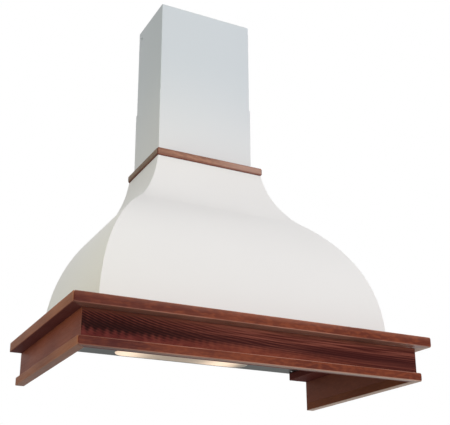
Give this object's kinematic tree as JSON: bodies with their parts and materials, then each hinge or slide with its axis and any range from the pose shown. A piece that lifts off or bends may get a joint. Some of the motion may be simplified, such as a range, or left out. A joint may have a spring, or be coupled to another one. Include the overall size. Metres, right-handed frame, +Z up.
{
  "type": "chimney range hood",
  "caption": "Wall-hung chimney range hood: bell-shaped painted steel canopy and telescopic flue cover, framed by a mitred wooden cornice and collar, with lit steel underside and grease filters.",
  "frame": {"origin": "the point on the wall face midway between the two hanging slots", "axes": "+X to the right as seen from the room, +Y into the wall, +Z up"},
  "size_m": [0.9, 0.505, 1.085],
  "materials": {
    "wood_board": "satin red-brown stain over open grain, light on the rounded arrises",
    "wood_fascia": "satin dark red-brown stain over strong cathedral grain",
    "wood_collar": "satin brown stain",
    "bell_paint": "warm white satin powder coat",
    "chimney_paint": "white satin powder coat",
    "stainless": "brushed along the hood",
    "aluminium": "plain rolled",
    "filter_mesh": "pleated expanded mesh",
    "galvanised": "galvanised sheet with spangle",
    "bright_steel": "zinc plated",
    "motor_casing": "black enamel",
    "dark_plastic": "moulded, fine texture",
    "grey_plastic": "moulded, fine texture",
    "white_plastic": "smooth",
    "lamp_cover": "translucent, lit warm from behind",
    "bulb_glass": "frosted"
  },
  "bodies": {
    "root": {"top_board_front": "wood_board", "top_board_left": "wood_board", "top_board_right": "wood_board", "fascia_front": "wood_fascia", "fascia_left": "wood_fascia", "fascia_right": "wood_fascia", "lower_moulding_front": "wood_board", "lower_moulding_left": "wood_board", "lower_moulding_right": "wood_board", "collar_front": "wood_collar", "collar_left": "wood_collar", "collar_right": "wood_collar", "frame_screw_front_left": "bright_steel", "frame_screw_front_right": "bright_steel", "frame_screw_side_left": "bright_steel", "frame_screw_side_right": "bright_steel", "corner_bracket_left": "bright_steel", "corner_bracket_right": "bright_steel", "bell_front_panel": "bell_paint", "bell_side_panel_left": "bell_paint", "bell_side_panel_right": "bell_paint", "back_panel": "bell_paint", "neck_plate": "galvanised", "lower_chimney": "chimney_paint", "outlet_spigot": "dark_plastic", "blower_housing": "galvanised", "motor": "motor_casing", "motor_bracket": "galvanised", "underside_tray": "stainless", "lamp_housing": "bright_steel", "lamp_holder_left": "white_plastic", "lamp_holder_right": "white_plastic", "bulb_left": "bulb_glass", "bulb_right": "bulb_glass", "control_bezel": "dark_plastic", "switch_block": "dark_plastic", "terminal_box": "dark_plastic", "cable_gland": "grey_plastic"},
    "chimney_top": {"upper_chimney": "chimney_paint", "chimney_bracket": "galvanised", "chimney_screw_left": "chimney_paint", "chimney_screw_right": "chimney_paint"},
    "fan": {"impeller": "aluminium", "motor_shaft": "bright_steel"},
    "flap_front": {"check_flap_front": "white_plastic"},
    "flap_rear": {"check_flap_rear": "white_plastic"},
    "filter_left": {"filter_frame_left": "aluminium", "filter_mesh_left": "filter_mesh"},
    "filter_right": {"filter_frame_right": "aluminium", "filter_mesh_right": "filter_mesh"},
    "latch_left": {"filter_latch_left": "dark_plastic"},
    "latch_right": {"filter_latch_right": "dark_plastic"},
    "lamp_lid": {"lamp_cover": "lamp_cover"},
    "key_off": {"button_off": "grey_plastic"},
    "key_speed_1": {"button_speed_1": "grey_plastic"},
    "key_speed_2": {"button_speed_2": "grey_plastic"},
    "key_speed_3": {"button_speed_3": "grey_plastic"},
    "key_light": {"button_light": "grey_plastic"}
  },
  "joints": [
    {"name": "chimney_slide", "type": "slide", "parent": "root", "child": "chimney_top", "axis": [0, 0, 1], "range_m": [-0.02, 0.13]},
    {"name": "fan_spin", "type": "hinge", "parent": "root", "child": "fan", "pos_m": [0, -0.145, 0.03], "axis": [1, 0, 0], "continuous": true},
    {"name": "flap_front_swing", "type": "hinge", "parent": "root", "child": "flap_front", "pos_m": [0, -0.0935, 0.2044], "axis": [-1, 0, 0], "range_deg": [0, 75]},
    {"name": "flap_rear_swing", "type": "hinge", "parent": "root", "child": "flap_rear", "pos_m": [0, -0.0845, 0.2044], "axis": [1, 0, 0], "range_deg": [0, 75]},
    {"name": "filter_left_drop", "type": "hinge", "parent": "root", "child": "filter_left", "pos_m": [-0.161, -0.112, -0.3], "axis": [1, 0, 0], "range_deg": [0, 60]},
    {"name": "filter_right_drop", "type": "hinge", "parent": "root", "child": "filter_right", "pos_m": [0.161, -0.112, -0.3], "axis": [1, 0, 0], "range_deg": [0, 60]},
    {"name": "latch_left_slide", "type": "slide", "parent": "filter_left", "child": "latch_left", "axis": [0, 1, 0], "range_m": [0, 0.005], "stiffness_N_per_m": 600},
    {"name": "latch_right_slide", "type": "slide", "parent": "filter_right", "child": "latch_right", "axis": [0, 1, 0], "range_m": [0, 0.005], "stiffness_N_per_m": 600},
    {"name": "lamp_cover_swing", "type": "hinge", "parent": "root", "child": "lamp_lid", "pos_m": [0, -0.0123, -0.3], "axis": [1, 0, 0], "range_deg": [0, 75]},
    {"name": "button_off_press", "type": "slide", "parent": "root", "child": "key_off", "axis": [0, 0, 1], "range_m": [0, 0.0025], "stiffness_N_per_m": 500},
    {"name": "button_speed_1_press", "type": "slide", "parent": "root", "child": "key_speed_1", "axis": [0, 0, 1], "range_m": [0, 0.0025], "stiffness_N_per_m": 500},
    {"name": "button_speed_2_press", "type": "slide", "parent": "root", "child": "key_speed_2", "axis": [0, 0, 1], "range_m": [0, 0.0025], "stiffness_N_per_m": 500},
    {"name": "button_speed_3_press", "type": "slide", "parent": "root", "child": "key_speed_3", "axis": [0, 0, 1], "range_m": [0, 0.0025], "stiffness_N_per_m": 500},
    {"name": "button_light_press", "type": "slide", "parent": "root", "child": "key_light", "axis": [0, 0, 1], "range_m": [0, 0.0025], "stiffness_N_per_m": 500}
  ]
}
